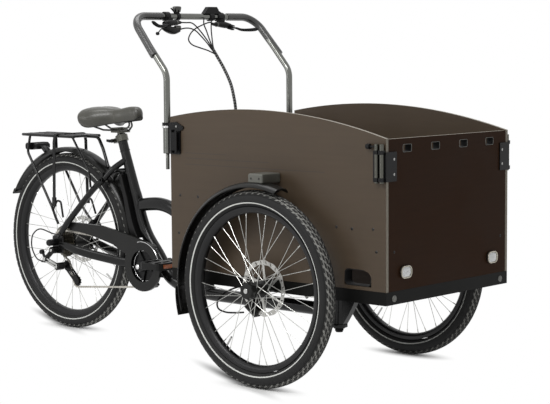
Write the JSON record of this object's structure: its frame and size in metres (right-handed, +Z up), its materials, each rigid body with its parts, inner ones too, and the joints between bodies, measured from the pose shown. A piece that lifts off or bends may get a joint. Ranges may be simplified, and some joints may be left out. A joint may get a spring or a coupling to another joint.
{
  "type": "electric cargo bike",
  "caption": "Electric cargo tricycle: a steerable wooden box between its front wheels, low step-through frame, padded saddle, rear rack and chain drive.",
  "frame": {"origin": "centre of the bounding box at floor level", "axes": "+X towards the cargo box, +Y to the rider's left, +Z up; the drive side faces -Y"},
  "size_m": [2.118, 0.88, 1.203],
  "materials": {
    "frame_paint": "satin black powder coat",
    "bar_paint": "gloss dark grey paint",
    "plywood": "film faced birch plywood",
    "tyre_rubber": "matt rubber with a white stripe",
    "rim_anodised": "black anodised",
    "bright_steel": "bright, turned",
    "black_steel": "black electrocoat",
    "black_plastic": "fine grain",
    "soft_rubber": "soft, matt",
    "saddle_skin": "smooth coated skin",
    "lamp_lens": "clear lens over a bright reflector",
    "red_lens": "moulded red lens"
  },
  "bodies": {
    "rear_frame": {"main_frame": "frame_paint", "rear_axle": "bright_steel", "rear_mudguard": "black_plastic", "luggage_rack": "frame_paint", "rack_strap": "soft_rubber", "tail_light": "red_lens", "chain_guard": "black_plastic", "chain": "black_steel", "rear_derailleur": "black_plastic", "battery": "black_plastic", "seat_clamp": "black_steel", "shift_cable": "soft_rubber"},
    "seat_lever": {"seat_clamp_lever": "bright_steel"},
    "seat": {"seatpost": "black_steel", "saddle_base": "black_plastic", "saddle_cover": "saddle_skin"},
    "crankset": {"right_crank": "black_steel", "left_crank": "black_steel"},
    "right_pedal_body": {"right_pedal": "black_plastic"},
    "left_pedal_body": {"left_pedal": "black_plastic"},
    "rear_wheel": {"rear_tyre": "tyre_rubber", "rear_rim": "rim_anodised", "rear_hub": "bright_steel"},
    "cassette_body": {"cassette": "bright_steel"},
    "cage": {"derailleur_cage": "black_steel"},
    "guide_wheel": {"guide_pulley": "black_plastic"},
    "tension_wheel": {"tension_pulley": "black_plastic"},
    "cargo_box": {"chassis": "frame_paint", "floor_panel": "plywood", "front_panel": "plywood", "back_panel": "plywood", "front_brake_hoses": "soft_rubber", "right_side_panel": "plywood", "left_side_panel": "plywood", "right_front_bracket": "black_steel", "left_front_bracket": "black_steel", "right_bar_sleeve": "black_steel", "left_bar_sleeve": "black_steel", "right_mudguard": "black_plastic", "left_mudguard": "black_plastic", "right_headlight": "lamp_lens", "left_headlight": "lamp_lens"},
    "right_front_wheel": {"right_front_tyre": "tyre_rubber", "right_front_rim": "rim_anodised", "right_front_hub": "bright_steel"},
    "left_front_wheel": {"left_front_tyre": "tyre_rubber", "left_front_rim": "rim_anodised", "left_front_hub": "bright_steel"},
    "right_sleeve_lever": {"right_bar_lever": "bright_steel"},
    "left_sleeve_lever": {"left_bar_lever": "bright_steel"},
    "bars": {"handlebar": "bar_paint", "bell": "black_steel", "display": "black_plastic", "control_loom": "soft_rubber", "right_grip": "soft_rubber", "left_grip": "soft_rubber", "right_lever_clamp": "black_plastic", "left_lever_clamp": "black_plastic"},
    "right_brake": {"right_brake_blade": "black_steel"},
    "left_brake": {"left_brake_blade": "black_steel"}
  },
  "joints": [
    {"name": "steering", "type": "hinge", "parent": "rear_frame", "child": "cargo_box", "pos_m": [0.602, 0, 0.2], "axis": [0, 0, 1], "range_deg": [-28, 28]},
    {"name": "rear_wheel_spin", "type": "hinge", "parent": "rear_frame", "child": "rear_wheel", "pos_m": [-0.726, 0, 0.333], "axis": [0, 1, 0], "continuous": true},
    {"name": "right_front_spin", "type": "hinge", "parent": "cargo_box", "child": "right_front_wheel", "pos_m": [0.5915, -0.382, 0.311], "axis": [0, 1, 0], "continuous": true},
    {"name": "left_front_spin", "type": "hinge", "parent": "cargo_box", "child": "left_front_wheel", "pos_m": [0.5915, 0.382, 0.311], "axis": [0, 1, 0], "continuous": true},
    {"name": "crank_spin", "type": "hinge", "parent": "rear_frame", "child": "crankset", "pos_m": [-0.274, 0, 0.277], "axis": [0, 1, 0], "continuous": true},
    {"name": "right_pedal_spin", "type": "hinge", "parent": "crankset", "child": "right_pedal_body", "pos_m": [-0.11094, -0.12, 0.30224], "axis": [0, 1, 0], "continuous": true},
    {"name": "left_pedal_spin", "type": "hinge", "parent": "crankset", "child": "left_pedal_body", "pos_m": [-0.43706, 0.12, 0.25176], "axis": [0, 1, 0], "continuous": true},
    {"name": "cassette_spin", "type": "hinge", "parent": "rear_frame", "child": "cassette_body", "pos_m": [-0.726, -0.05, 0.333], "axis": [0, 1, 0], "continuous": true},
    {"name": "cage_swing", "type": "hinge", "parent": "rear_frame", "child": "cage", "pos_m": [-0.704, -0.0456, 0.243], "axis": [0, 1, 0], "range_deg": [-12, 12], "stiffness_Nm_per_rad": 0.8, "deforming": ["chain"]},
    {"name": "guide_pulley_spin", "type": "hinge", "parent": "cage", "child": "guide_wheel", "pos_m": [-0.704, -0.0456, 0.243], "axis": [0, 1, 0], "continuous": true},
    {"name": "tension_pulley_spin", "type": "hinge", "parent": "cage", "child": "tension_wheel", "pos_m": [-0.643, -0.0456, 0.189], "axis": [0, 1, 0], "continuous": true},
    {"name": "seat_height", "type": "slide", "parent": "rear_frame", "child": "seat", "axis": [-0.3308, 0, 0.9437], "range_m": [0, 0.06]},
    {"name": "seat_lever_turn", "type": "hinge", "parent": "rear_frame", "child": "seat_lever", "pos_m": [-0.46251, -0.024, 0.72111], "axis": [0, -1, 0], "range_deg": [0, 100]},
    {"name": "bar_height", "type": "slide", "parent": "cargo_box", "child": "bars", "axis": [0, 0, 1], "range_m": [0, 0.06], "deforming": ["control_loom"]},
    {"name": "right_sleeve_lever_turn", "type": "hinge", "parent": "cargo_box", "child": "right_sleeve_lever", "pos_m": [0.157, -0.3236, 0.755], "axis": [0, 0, -1], "range_deg": [0, 100]},
    {"name": "left_sleeve_lever_turn", "type": "hinge", "parent": "cargo_box", "child": "left_sleeve_lever", "pos_m": [0.157, 0.3236, 0.755], "axis": [0, 0, 1], "range_deg": [0, 100]},
    {"name": "right_brake_pull", "type": "hinge", "parent": "bars", "child": "right_brake", "pos_m": [-0.008, -0.172, 1.14], "axis": [0, 0, -1], "range_deg": [0, 20], "stiffness_Nm_per_rad": 0.8, "springref_deg": -11.46},
    {"name": "left_brake_pull", "type": "hinge", "parent": "bars", "child": "left_brake", "pos_m": [-0.0263, 0.152, 1.12262], "axis": [0.4695, 0, 0.8829], "range_deg": [0, 20], "stiffness_Nm_per_rad": 0.8, "springref_deg": -11.46}
  ],
  "couplings": [
    {"joint": "cassette_spin", "follows": "crank_spin", "ratio": 1.8095},
    {"joint": "guide_pulley_spin", "follows": "crank_spin", "ratio": -3.4545},
    {"joint": "tension_pulley_spin", "follows": "crank_spin", "ratio": 3.4545}
  ]
}
